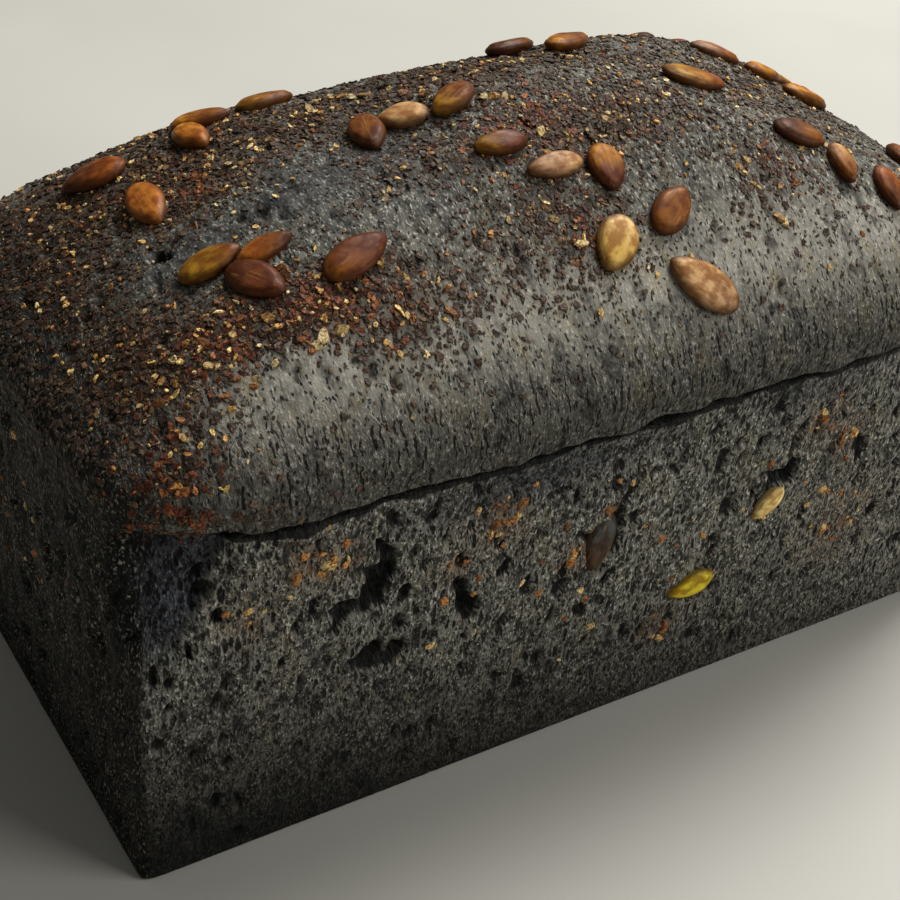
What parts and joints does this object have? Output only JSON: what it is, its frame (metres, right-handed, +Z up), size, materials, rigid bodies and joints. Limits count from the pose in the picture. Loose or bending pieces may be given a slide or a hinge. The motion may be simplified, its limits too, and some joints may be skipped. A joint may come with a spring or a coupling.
{
  "type": "charcoal bread loaf",
  "caption": "Black tin loaf with flat walls, a creased rim and a risen dome strewn with pumpkin seeds and bran flakes.",
  "frame": {"origin": "middle of the flat underside", "axes": "+X along the loaf, +Y towards its back, +Z up"},
  "size_m": [0.2056, 0.109, 0.1223],
  "materials": {
    "crust": "dry matte charcoal-black crust and crumb, with satin brown pumpkin seeds and golden bran flakes baked on"
  },
  "bodies": {
    "root": {"loaf": "crust"}
  },
  "joints": []
}
